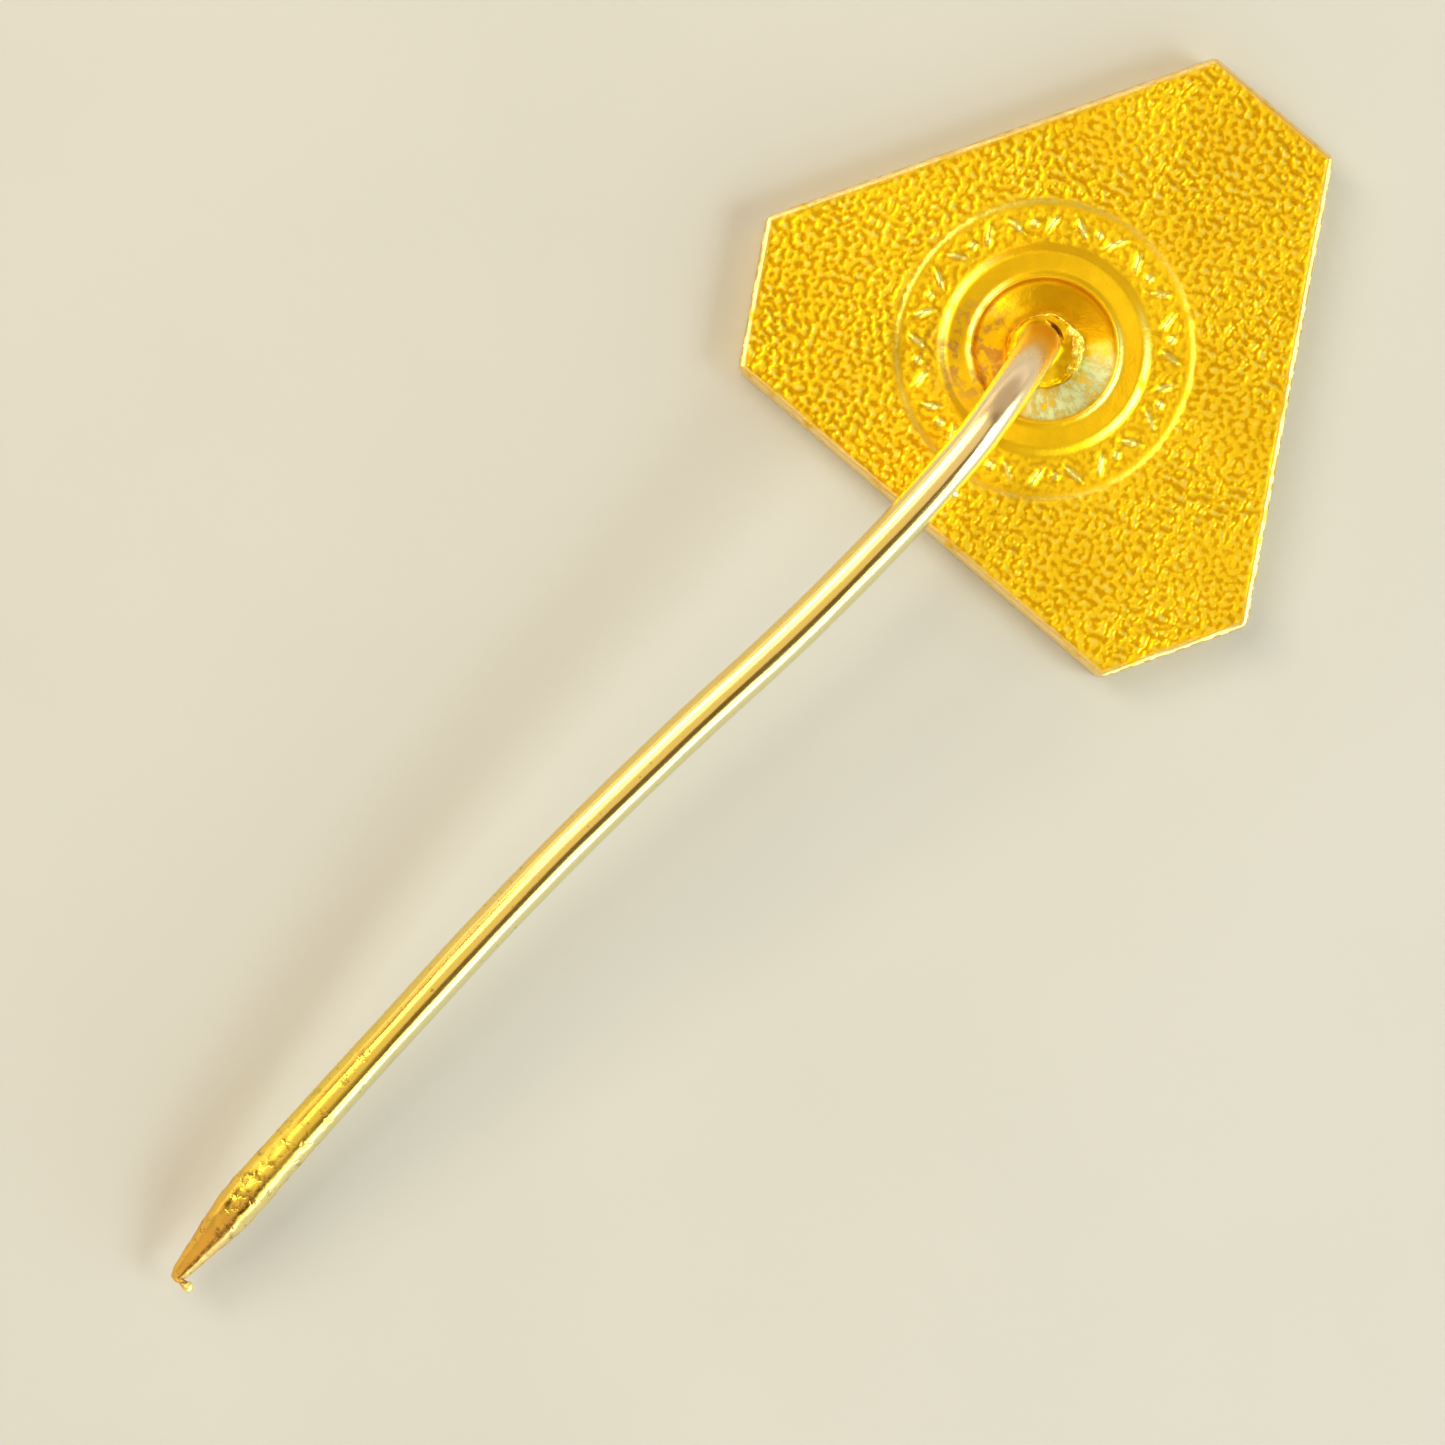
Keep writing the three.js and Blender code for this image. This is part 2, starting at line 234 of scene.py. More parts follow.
def back_relief(x, y):
    """Height of the back, and how far it stands up (lighter ridges and darker valleys, painted light and
    shade), how rubbed it is (partly wear, partly painted sheen and highlights) and how near the edge
    (painted sheen).
    """
    radius = np.hypot(x - HUB[0], y - HUB[1])
    inside = edge_depth(x, y)
    in_field = smooth_step(*FIELD_FROM_HUB, radius) * smooth_step(*FIELD_FROM_EDGE, inside)
    in_band = smooth_step(*BAND_START, radius) * (1 - smooth_step(*BAND_END, radius))
    grain = waves(x, y, *GRAIN) + FINE_SHARE * waves(x, y, *FINE_GRAIN) + 0.2
    worms = np.tanh(GRAIN_STEEPNESS * grain)
    patches = 0.8 + 0.25 * waves(x, y, *PATCHES)
    crumple = waves(x, y, *CRUMPLE)
    garland = garland_height(x, y) * (0.85 + 0.12 * crumple) * in_band
    height = BACK + hub_height(radius) + GRAIN_HEIGHT * patches * worms * in_field
    height = height + (CRUMPLE_HEIGHT * crumple + 0.5 * GRAIN_HEIGHT * worms) * in_band + garland
    height = height + SAG_HEIGHT * waves(x, y, *SAG)
    burr = near(inside, BURR_IN, BURR_WIDTH) * (1 + 0.35 * waves(x, y, *BURR_SWELL))
    height = height + BURR_RISE * burr - EDGE_ROLL * (1 - smooth_step(-0.02, BURR_IN, inside)) ** 2

    # How far it stands up, which lightens the ridges and darkens the valleys as painted light and shade
    relief_and_shade = 0.5 + 0.5 * worms * np.maximum(in_field, 0.6 * in_band)
    # Rubbed: partly wear, partly painted sheen; on the crown's rings, painted highlight arcs at two
    # opposite headings
    rubbed_and_sheen = 0.5 * smooth_step(*RUBBED_SHEEN_GRAIN, grain) * in_field
    rubbed_and_sheen = rubbed_and_sheen + 0.9 * smooth_step(*RUBBED_SHEEN_GARLAND, garland / GARLAND_RISE)
    rubbed_and_sheen = rubbed_and_sheen + 0.4 * near(radius, RUBBED_SHEEN_LIP, 0.06)
    both_ends = np.cos(np.arctan2(y - HUB[1], x - HUB[0]) - HIGHLIGHT_HEADING) ** 2
    rings = sum(near(radius, ring, HIGHLIGHT_RING_WIDTH) for ring in HIGHLIGHT_RINGS)
    rubbed_and_sheen = rubbed_and_sheen + rings * smooth_step(0.4, 0.9, both_ends)
    edge = 0.8 * (1 - smooth_step(*EDGE_SHINE, inside))
    return height, np.column_stack([relief_and_shade, np.clip(rubbed_and_sheen, 0, 1), edge])


def mesh_piece(name, points, faces, material, values=None):
    """A smooth-shaded mesh object from points in millimetres, with a value on each point if given."""
    mesh = bpy.data.meshes.new(name)
    places = (np.asarray(points, float) * MM).tolist()
    mesh.from_pydata(places, [], [list(map(int, face)) for face in faces])
    mesh.validate()
    mesh.polygons.foreach_set("use_smooth", [True] * len(mesh.polygons))
    for label, numbers in (values or {}).items():
        layer = mesh.attributes.new(label, "FLOAT", "POINT")
        layer.data.foreach_set("value", np.asarray(numbers, np.float32))
    mesh.materials.append(material)
    piece = bpy.data.objects.new(name, mesh)
    bpy.context.scene.collection.objects.link(piece)
    return piece


def triangulate(loops, loose=()):
    """Triangles over closed loops and loose points: the points, the faces and each loop's indices."""
    edges, spans, start = [], [], 0
    for loop in loops:
        span = range(start, start + len(loop))
        edges += zip(span, [*span[1:], start])
        spans.append(span)
        start += len(loop)
    points = [Vector(point) for group in (*loops, loose) for point in group]
    made = delaunay_2d_cdt(points, edges, [], 0, 1e-7)
    flat = np.array([tuple(point) for point in made[0]])
    place = {source: index for index, sources in enumerate(made[3]) for source in sources}
    return flat, np.array(made[2]), [np.array([place[source] for source in span]) for span in spans]


def strip(lower, upper, order=1):
    """Quads between two closed rings of the same number of points; order -1 turns them over."""
    return list(np.column_stack([lower, np.roll(lower, -1), np.roll(upper, -1), upper])[:, ::order])


class Shell:
    """The plate's points, the looks on them and its faces, gathered ring by ring."""

    def __init__(self):
        self.points, self.looks, self.faces = [], [], []

    def add(self, places, height, looks):
        """Adds points at places seen from above. Returns their indices."""
        start = sum(len(group) for group in self.points)
        self.points.append(np.column_stack([places, np.broadcast_to(height, len(places))]))
        self.looks.append(np.broadcast_to(looks, (len(places), 3)))
        return np.arange(start, start + len(places))


class Link:
    """A shader socket that Python arithmetic works on, with a Math node for each step."""

    def __init__(self, tree, socket):
        self.tree = tree
        self.socket = socket

    def math(self, operation, *values):
        return add_node(self.tree, "ShaderNodeMath", {"operation": operation}, dict(enumerate(values)))

    def __add__(self, other):
        return self.math("ADD", self, other)

    __radd__ = __add__

    def __sub__(self, other):
        return self.math("SUBTRACT", self, other)

    def __rsub__(self, other):
        return self.math("SUBTRACT", other, self)

    def __mul__(self, other):
        return self.math("MULTIPLY", self, other)

    __rmul__ = __mul__

    def root(self):
        return self.math("SQRT", self)

    def turn_from(self, across):
        """The heading of a place this far up and so far across."""
        return self.math("ARCTAN2", self, across)


def socket_of(sockets, key):
    """The socket that has this number, identifier or name."""
    if isinstance(key, int):
        return sockets[key]
    return next(socket for socket in sockets if key in (socket.identifier, socket.name))


def add_node(tree, kind, settings=None, values=None, output=0):
    """Adds a node: its settings first, then values or links for its sockets. Returns one output."""
    node = tree.nodes.new(kind)
    for name, value in (settings or {}).items():
        setattr(node, name, value)
    for key, value in (values or {}).items():
        socket = socket_of(node.inputs, key)
        if isinstance(value, Link):
            tree.links.new(value.socket, socket)
        else:
            socket.default_value = value
    return Link(tree, socket_of(node.outputs, output))


def new_material(name):
    material = bpy.data.materials.new(name)
    material.use_nodes = True
    material.node_tree.nodes.clear()
    return material, material.node_tree


def place_of(tree):
    return add_node(tree, "ShaderNodeTexCoord", output="Object")


def mesh_values(tree, *names):
    """The values that the mesh carries on its points."""
    return [add_node(tree, "ShaderNodeAttribute", {"attribute_name": name}, output="Fac") for name in names]


def noise(tree, place, size, detail=2.0, roughness=0.5):
    """Noise whose features are about the given size in millimetres."""
    return add_node(tree, "ShaderNodeTexNoise", {}, {
        "Vector": place, "Scale": 1 / (size * MM), "Detail": detail, "Roughness": roughness}, "Fac")


def ramp(tree, value, low, high, unit=1.0):
    """From 0 to 1 as the value goes from low to high, both in the unit."""
    return add_node(tree, "ShaderNodeMapRange", {"interpolation_type": "SMOOTHSTEP"}, {
        "Value": value, "From Min": low * unit, "From Max": high * unit, "To Min": 0.0, "To Max": 1.0})


def fade(tree, value, low, high, unit=1.0):
    """From 1 to 0 as the value goes from low to high, both in the unit."""
    return 1 - ramp(tree, value, low, high, unit)


def blend(tree, share, first, second):
    """One colour turning into another."""
    return add_node(tree, "ShaderNodeMix", {"data_type": "RGBA"}, {
        "Factor_Float": share, "A_Color": first, "B_Color": second}, "Result_Color")


def apart(tree, place):
    """A place's X, Y and Z."""
    split = add_node(tree, "ShaderNodeSeparateXYZ", {}, {0: place})
    return [Link(tree, socket) for socket in split.socket.node.outputs]


def join(tree, x, y, z=0.0):
    return add_node(tree, "ShaderNodeCombineXYZ", {}, {"X": x, "Y": y, "Z": z})


def spot(tree, place, centre, low, high):
    """1 at a place in millimetres, falling to 0 between two distances from it."""
    distance = add_node(tree, "ShaderNodeVectorMath", {"operation": "DISTANCE"}, {
        0: place, 1: tuple(value * MM for value in centre)}, "Value")
    return fade(tree, distance, low, high, MM)


def bump(tree, height, depth, after=None):
    """Fine relief of the given depth in millimetres, on top of any earlier one."""
    values = {"Height": height, "Strength": 1.0, "Distance": depth * MM}
    if after is not None:
        values["Normal"] = after
    return add_node(tree, "ShaderNodeBump", {}, values)


def finish_surface(tree, **values):
    """The surface itself, with its sockets' names written with underscores, and the output."""
    surface = add_node(tree, "ShaderNodeBsdfPrincipled", {}, {
        name.replace("_", " "): value for name, value in values.items()})
    tree.links.new(surface.socket, tree.nodes.new("ShaderNodeOutputMaterial").inputs["Surface"])


GOLD_DEEP = (0.62, 0.31, 0.002, 1)
GOLD_BRIGHT = (1.0, 0.66, 0.014, 1)
GOLD_PALE_SHEEN = (1.0, 0.93, 0.26, 1)
GOLD_EDGE_SHEEN = (1.0, 0.80, 0.38, 1)
DISH_WALL_SHADE = (0.60, 0.30, 0.002, 1)
TARNISH = (0.46, 0.22, 0.07, 1)
HAZE = (0.40, 0.47, 0.24, 1)
HAZE_PALE = (0.74, 0.86, 0.56, 1)

# Marks round the dish: headings in radians, and distances in millimetres from the hub's middle
STAIN_AT = (HUB[0] - 1.4, HUB[1] - 1.3, BACK)
STAIN_REACH = (0.7, 2.1)
# Painted shade on the dish's far wall, as headings and radii
WALL_SHADE_HEADINGS = ((0.75, 1.0), (2.4, 3.1))
WALL_SHADE_RADII = ((1.4, 1.6), (2.1, 2.2))
HAZE_HEADINGS = ((-1.35, -1.0), (0.3, 0.95))
HAZE_RADII = ((1.0, 1.15), (2.05, 2.2))
BACK_HALF = (0.4, 0.6)


def plateau(tree, value, start, end, unit=1.0):
    """From 0 to 1 over the first stretch, and back to 0 over the second."""
    return ramp(tree, value, *start, unit) * fade(tree, value, *end, unit)


def gilt_plate_material():
    material, tree = new_material("gilt_plate")
    place = place_of(tree)
    relief_and_shade, rubbed_and_sheen, edge = mesh_values(tree, "relief_and_shade", "rubbed_and_sheen", "edge")
    cloud = noise(tree, place, 2.6, 3.0)
    fine = noise(tree, place, 0.09, 3.0, 0.6)
    speck = noise(tree, place, 0.35, 2.0, 0.6)
    wear = ramp(tree, noise(tree, place, 0.5, 3.0), 0.25, 0.5)
    rubbed_and_sheen, edge = rubbed_and_sheen * wear, edge * wear
    # Painted light and shade: the grain's ridges lighter and its valleys darker, over a random cloud of
    # tone
    colour = blend(tree, ramp(tree, relief_and_shade * 0.75 + cloud * 0.5, 0.15, 1.0), GOLD_DEEP, GOLD_BRIGHT)
    # Painted sheen and highlights in pale gold, partly rubbed wear
    colour = blend(tree, rubbed_and_sheen, colour, GOLD_PALE_SHEEN)
    # Painted sheen: the edges paler gold, partly wear
    colour = blend(tree, edge, colour, GOLD_EDGE_SHEEN)

    # Tarnish beside the dish, and painted shade: a darker brown on the dish's far wall
    across, up, height = apart(tree, place)
    on_back = ramp(tree, height, *BACK_HALF, MM)
    stain = spot(tree, place, STAIN_AT, *STAIN_REACH) * ramp(tree, speck, 0.44, 0.62) * on_back
    colour = blend(tree, stain * 0.75, colour, TARNISH)
    across, up = across - HUB[0] * MM, up - HUB[1] * MM
    heading = up.turn_from(across)
    radius = (across * across + up * up).root()
    inner, outer = WALL_SHADE_RADII
    wall_shade = plateau(tree, heading, *WALL_SHADE_HEADINGS) * on_back
    wall_shade = wall_shade * ramp(tree, radius + 0.6 * MM * speck, *inner, MM) * fade(tree, radius, *outer, MM)
    colour = blend(tree, wall_shade * 0.8, colour, DISH_WALL_SHADE)

    # A grey-green haze, streaked outwards and paler in blots, in the near side of the dish, where the metal
    # is duller and rougher
    streaks = noise(tree, join(tree, heading * 2.2 * MM, radius * 0.5), 0.2, 3.0, 0.6)
    blots = noise(tree, place, 0.35, 3.0, 0.65)
    haze = plateau(tree, heading, *HAZE_HEADINGS) * plateau(tree, radius, *HAZE_RADII, MM) * on_back
    haze = haze * ramp(tree, streaks * 0.45 + blots * 0.75, 0.4, 0.66)
    haze_colour = blend(tree, ramp(tree, streaks * 0.5 + blots * 0.5, 0.38, 0.6), HAZE, HAZE_PALE)
    colour = blend(tree, haze * 0.9, colour, haze_colour)

    rough = 0.36 - 0.12 * relief_and_shade - 0.13 * rubbed_and_sheen - 0.1 * edge + 0.16 * fine + 0.1 * cloud + 0.2 * haze
    finish_surface(tree, Base_Color=colour, Metallic=1 - haze * 0.75, Roughness=rough,
                   Normal=bump(tree, fine, 0.011))
    return material


def cell_walls(side):
    """Directions of the two walls beside a side's cell."""
    before, after = corner_at(side - 1, 0), corner_at(side, 0)
    return before / np.linalg.norm(before), after / np.linalg.norm(after)


RIM_WIDTH = 0.75
WALL_WIDTH = 0.36
CELL_DEPTH = 0.35
CELL_ROUND = 0.18
CELL_MOUTH = 0.03
CELL_WALL = ((-0.008, 0.008), (0.0, 0.03), (0.0, CELL_DEPTH))
FRONT_RING_OUT = 4.3
RING_CELL_OUT = 3.94
MEDALLION_OUT = 2.4
RING_SIDES = 120
MEDALLION_SIDES = 96


def side_cell_outline(side, inset):
    """A side cell's outline, anticlockwise: along the front ring, out, along the rim and back."""
    before, after = cell_walls(side)
    half = WALL_WIDTH / 2 + inset
    ring = FRONT_RING_OUT + inset
    turn = math.asin(half / ring)
    start = math.atan2(before[1], before[0]) + turn
    end = math.atan2(after[1], after[0]) - turn
    if end < start:
        end += 2 * math.pi
    inner = [ring * np.array([math.cos(angle), math.sin(angle)]) for angle in np.linspace(end, start, 25)]
    normal = np.array([math.cos(side_angle(side)), math.sin(side_angle(side))])
    tangent = np.array([-normal[1], normal[0]])
    out = side_distance(side) - RIM_WIDTH - inset
    corners = []
    for direction, sign in ((before, 1), (after, -1)):
        shift = half * np.array([-direction[1], direction[0]]) * sign
        reach = (out - shift @ normal) / (direction @ normal)
        corners.append((shift + reach * direction, direction))
    outer = []
    for (corner, direction), order in zip(corners, (1, -1)):
        for share in np.linspace(0, 1, 6)[::order]:
            on_wall = corner - direction * CELL_ROUND * (1 - share)
            on_rim = corner + tangent * order * CELL_ROUND * share
            outer.append(on_wall * (1 - share) + on_rim * share)
    return np.array(inner + outer)


def circle(radius, count, middle=(0.0, 0.0)):
    angles = np.linspace(0, 2 * math.pi, count, endpoint=False)
    return np.column_stack([middle[0] + radius * np.cos(angles), middle[1] + radius * np.sin(angles)])


def in_polygon(points, polygon):
    """Which points lie inside a closed outline."""
    x, y = points[:, 0], points[:, 1]
    inside = np.zeros(len(points), bool)
    for (ax, ay), (bx, by) in zip(polygon, np.roll(polygon, -1, axis=0)):
        crosses = (ay > y) != (by > y)
        with np.errstate(divide="ignore", invalid="ignore"):
            meets = x < (bx - ax) * (y - ay) / (by - ay) + ax
        inside ^= crosses & meets
    return inside


# Points of the back: rings in from the edge, an even field, and rings of the hub as from, to and step
RIM_INSETS = (0.035, 0.07, 0.105, 0.14, 0.18, 0.22, 0.27)
FIELD_SPACING = 0.062
HUB_SPACING = 0.055
HUB_RINGS = ((0.2, 1.1, 0.15), (1.1, 2.0, 0.075), (2.0, 2.5, 0.035), (2.5, 2.85, 0.07),
             (2.85, 3.25, 0.035), (3.25, 4.3, 0.052), (4.3, 4.6, 0.04))

# Rings of the trimmed edge, as how far in, how far down and how torn
EDGE_RINGS = ((0.012, -0.09, 0.4), (0.0, -0.14, 1.0), (0.0, -0.35, 1.0), (0.004, -0.62, 0.8),
              (0.012, -0.8, 1.2), (0.012, -1.0, 1.2), (0.01, -1.11, 0.6), (0.03, -1.17, 0.2))
EDGE_TEAR = 0.004
FRONT_BEVEL = 0.08
GUARD_IN = 0.13

# Looks, as how far it stands up (painted light and shade, darker on the cell walls), how rubbed it is
# (partly wear, partly painted sheen) and how near the edge (painted sheen)
EDGE_LOOK = (0.6, 0.0, 0.6)
FRONT_LOOK = (0.7, 0.4, 0.0)
WALL_LOOK = (0.4, 0.0, 0.0)


def strike_back(shell, outline, outward):
    """The relief of the back on a close mesh. Returns its outer ring."""
    rims = [outline - inset * outward for inset in RIM_INSETS]
    field = []
    for row, y in enumerate(np.arange(plate_low.y, plate_high.y, FIELD_SPACING * math.sqrt(3) / 2)):
        x = np.arange(plate_low.x, plate_high.x, FIELD_SPACING) + (row % 2) * FIELD_SPACING / 2
        field.append(np.column_stack([x, np.full_like(x, y)]))
    field = np.vstack(field)
    deep = edge_depth(field[:, 0], field[:, 1]) > RIM_INSETS[-1] + 0.04
    far = np.hypot(field[:, 0] - HUB[0], field[:, 1] - HUB[1]) > BAND_OUT + 0.16
    turns = [circle(radius, int(min(420, max(24, 2 * math.pi * radius / HUB_SPACING))), HUB)
             for span in HUB_RINGS for radius in np.arange(*span)]
    flat, faces, rings = triangulate([rims[0]], np.vstack([*rims[1:], field[deep & far], *turns]))
    height, looks = back_relief(flat[:, 0], flat[:, 1])
    shell.add(flat, height, looks)
    shell.faces += list(faces)
    return rings[0]


def trim_edge(shell, outline, outward, lower):
    """The trimmed edge: sheared with upright lines, and torn a little lower down. Returns its last ring."""
    draw = np.random.default_rng(21)
    shear = np.convolve(draw.normal(0, 1, EDGE_POINTS), np.ones(3) / 3, "same")
    top = shell.points[0][lower, 2]
    for inset, drop, amount in EDGE_RINGS:
        level = BACK + drop + (top - BACK) * max(0, 1 + drop * 2)
        depth = inset + EDGE_TEAR * amount * shear
        upper = shell.add(outline - depth[:, None] * outward, level, EDGE_LOOK)
        shell.faces += strip(lower, upper, -1)
        lower = upper
    return lower


def sink_wall(shell, lower, outline_at, order):
    """The wall of a cell, from its mouth to its floor. Returns the ring at the floor."""
    for inset, level in CELL_WALL:
        upper = shell.add(outline_at(inset), level, WALL_LOOK)
        shell.faces += strip(lower, upper, order)
        lower = upper
    return lower


def ring_between(outer, inner):
    """Triangles between two rings with different numbers of points."""
    faces, i, j = [], 0, 0
    while i < len(outer) or j < len(inner):
        if j >= len(inner) or (i < len(outer) and (i + 1) / len(outer) <= (j + 1) / len(inner)):
            faces.append((outer[i % len(outer)], inner[j % len(inner)], outer[(i + 1) % len(outer)]))
            i += 1
        else:
            faces.append((outer[i % len(outer)], inner[j % len(inner)], inner[(j + 1) % len(inner)]))
            j += 1
    return faces


def strike_front(shell, outline, outward, lower):
    """The flat rim, walls and medallion, with the cells sunk between them."""
    cells = [side_cell_outline(side, -CELL_MOUTH) for side in range(6)]
    ring, medallion = RING_CELL_OUT + CELL_MOUTH, MEDALLION_OUT - CELL_MOUTH
    edges = [outline - FRONT_BEVEL * outward, *cells,
             circle(ring, RING_SIDES), circle(medallion, MEDALLION_SIDES)]

    # A second line inside each edge keeps the shading of the flats clean
    guards = [outline - GUARD_IN * outward,
              *(side_cell_outline(side, -2 * CELL_MOUTH) for side in range(6)),
              circle(ring + CELL_MOUTH, RING_SIDES), circle(medallion - CELL_MOUTH, MEDALLION_SIDES)]
    flat, faces, rings = triangulate([*edges, *guards])
    middles = flat[faces].mean(axis=1)
    radius = np.linalg.norm(middles, axis=1)
    metal = (radius >= ring) | (radius <= medallion)
    for cell in cells:
        metal &= ~in_polygon(middles, cell)
    start = shell.add(flat, 0.0, FRONT_LOOK)[0]
    shell.faces += list(faces[metal][:, ::-1] + start)
    rings = [indices + start for indices in rings]
    shell.faces += strip(lower, rings[0], -1)
    floors = [sink_wall(shell, rings[1 + side], lambda inset: side_cell_outline(side, inset), 1)[::-1]
              for side in range(6)]
    outer = sink_wall(shell, rings[7], lambda inset: circle(RING_CELL_OUT - inset, RING_SIDES), 1)
    inner = sink_wall(shell, rings[8], lambda inset: circle(MEDALLION_OUT + inset, MEDALLION_SIDES), -1)
    shell.faces += floors + ring_between(outer, inner)


def build_badge_plate():
    outline, outward = rounded_outline(0, CORNER_ROUND, EDGE_POINTS)
    shell = Shell()
    top = strike_back(shell, outline, outward)
    bottom = trim_edge(shell, outline, outward, top)
    strike_front(shell, outline, outward, bottom)
    looks = dict(zip(("relief_and_shade", "rubbed_and_sheen", "edge"), np.vstack(shell.looks).T))
    return np.vstack(shell.points), shell.faces, looks


plate_points, plate_faces, plate_values = build_badge_plate()
badge = mesh_piece("struck_badge", plate_points, plate_faces, gilt_plate_material(), plate_values)
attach(badge, "root")
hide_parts("badge_plate")


# ---------------------------------------------------------------------------------------------
# Solder at the foot of the needle. A small pool of soft solder fills the middle of the dish and
# climbs the wire. It stops short behind the wire, and runs out in beads on one side. Gilded after.

ROOT = np.array([-0.78, -0.40])
DISH_FLOOR = BACK + HUB_PROFILE[0][1]
POOL_RADIUS = (solder_high.x - solder_low.x) / 2 + 0.03
POOL_RISE = 0.17
POOL_RIPPLE = (0.45, 16, 32)
POOL_TURNS = 200
POOL_RINGS = 46
BED_DEPTH = 0.03
CLIMB = 0.16
CLIMB_REACH = 0.1
WIRE_FOOT_RADIUS = 0.57

# The raised rim of the pool: its place and width as shares of the way out from the wire
POOL_RIM_AT = 0.84
POOL_RIM_WIDTH = 0.09
POOL_RIM_RISE = 0.035
POOL_RIM_RIPPLE = (0.3, 16, 33)
# Painted highlight: pale gold on the pool's rim towards one heading, and on the beads' tops
GLINT_RIM_AT = 0.88
GLINT_HEADING = math.radians(95)

# Where it runs out in beads, and where it leaves a gap behind the wire, painted near black as shade
RUN_OUT = 0.17
RUN_OUT_HEADING = math.radians(40)
BEADS = 20
BEAD_RADII = (0.08, 0.15)
GAP_HEADING = math.radians(80)
GAP_HALF_ANGLE = math.radians(28)
GAP_OUT = (0.73, 0.8)
GAP_SHADE = (0.06, 0.016, 0.003, 1)


def gilt_solder_material():
    material, tree = new_material("gilt_solder")
    place = place_of(tree)
    fine = noise(tree, place, 0.12, 3.0, 0.6)
    gap, solder_glint = mesh_values(tree, "gap", "solder_glint")
    colour = blend(tree, ramp(tree, noise(tree, place, 0.6, 2.0), 0.3, 0.7), GOLD_DEEP, GOLD_BRIGHT)
    # Painted highlight in pale gold on the rim and the beads
    colour = blend(tree, solder_glint, colour, GOLD_PALE_SHEEN)
    # Painted shade: the gap behind the wire near black, rough and not metal
    gap_shade = ramp(tree, gap * (0.35 + fine), 0.6, 0.8)
    colour = blend(tree, gap_shade, colour, GAP_SHADE)
    relief = bump(tree, fine, 0.006)
    finish_surface(tree, Base_Color=colour, Metallic=1 - gap_shade,
                   Roughness=0.36 + 0.14 * fine + gap_shade * 0.3, Normal=relief)
    return material


def build_solder():
    draw = np.random.default_rng(31)
    turns = np.linspace(0, 2 * math.pi, POOL_TURNS, endpoint=False)
    ways = np.column_stack([np.cos(turns), np.sin(turns)])
    from_hub = ROOT - HUB
    along = ways @ from_hub
    wander = 0.03 * np.cos(3 * turns + 1) + 0.02 * np.cos(7 * turns)
    wander = wander + RUN_OUT * np.exp(-((turns - RUN_OUT_HEADING) / 0.55) ** 2)
    reach = -along + np.sqrt(along ** 2 - from_hub @ from_hub + (POOL_RADIUS + wander) ** 2)
    shares = np.linspace(0, 1, POOL_RINGS)[:, None]
    start = WIRE_FOOT_RADIUS - 0.05
    distance = start + (reach[None, :] - start) * shares
    x = ROOT[0] + distance * ways[None, :, 0]
    y = ROOT[1] + distance * ways[None, :, 1]
    rise = POOL_RISE + CLIMB * np.exp(-(distance - WIRE_FOOT_RADIUS) / CLIMB_REACH)
    rise = rise + 0.006 * waves(x, y, *POOL_RIPPLE)
    rim = POOL_RIM_RISE * near(shares, POOL_RIM_AT, POOL_RIM_WIDTH)
    rise = rise + rim * (1 + 0.5 * waves(x, y, *POOL_RIM_RIPPLE))
    solder_glint = 0.6 * near(shares, GLINT_RIM_AT, 0.06) * near(turns, GLINT_HEADING, 0.9)
    for _ in range(BEADS):
        heading = RUN_OUT_HEADING + draw.uniform(-0.65, 0.75)
        out = POOL_RADIUS + draw.uniform(-0.16, 0.1)
        size = draw.uniform(*BEAD_RADII)
        off = np.hypot(x - HUB[0] - out * math.cos(heading), y - HUB[1] - out * math.sin(heading))
        rise = rise + 0.8 * np.sqrt(np.maximum(size ** 2 - off ** 2, 0))
        solder_glint = np.maximum(solder_glint, 1 - smooth_step(0.8 * size, 1.3 * size, off))
    behind = np.exp(-((turns - GAP_HEADING) / GAP_HALF_ANGLE) ** 4)[None, :]
    gap = behind * (1 - smooth_step(*GAP_OUT, distance))
    rise = rise - gap * (rise - 0.02)
    to_edge = smooth_step(0.9, 1.0, shares)
    rise = rise * (1 - to_edge) - 0.02 * to_edge
    bed = np.full(POOL_TURNS, DISH_FLOOR - BED_DEPTH)
    points = np.vstack([
        np.column_stack([x.ravel(), y.ravel(), (DISH_FLOOR + rise).ravel()]),
        np.column_stack([x[-1], y[-1], bed]),
        np.column_stack([x[0], y[0], bed]),
    ])
    rings = [np.arange(POOL_TURNS) + ring * POOL_TURNS for ring in range(POOL_RINGS + 2)]
    faces = [face for a, b in zip(rings, rings[1:] + rings[:1]) for face in strip(a, b, -1)]
    ends = np.zeros(2 * POOL_TURNS)
    values = {"gap": np.concatenate([gap.ravel(), ends]), "solder_glint": np.concatenate([solder_glint.ravel(), ends])}
    return points, faces, values


solder_points, solder_faces, solder_values = build_solder()
solder = mesh_piece("solder_pool", solder_points, solder_faces, gilt_solder_material(), solder_values)
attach(solder, "root")
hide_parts("solder_fillet")


# ---------------------------------------------------------------------------------------------
# Needle. Drawn brass wire, its foot soldered upright in the dish and bent over to lie along the back
# of the badge. The far end is ground to a blunt point that has worn rough. Thinly gilded.

WIRE_RADIUS = 0.6
FOOT_START = 0.7
FOOT_SWELL = 0.045
FOOT_SWELL_AT = 40.2
BEND_START = 0.95
BEND_RADIUS = 4.0
BEND_STEPS = 6
HEADINGS = (math.radians(10), math.radians(6))

# Places on the middle line of the long run, down to the point
RUN = [
    (-0.40, -7.1, 4.86),
    (-0.70, -11.5, 4.46),
    (-1.30, -16.6, 3.92),
    (-1.82, -22.5, 3.24),
    (-2.08, -28.5, 2.50),
    (-2.24, -34.0, 1.77),
    (-2.29, -38.50, 1.12),
]

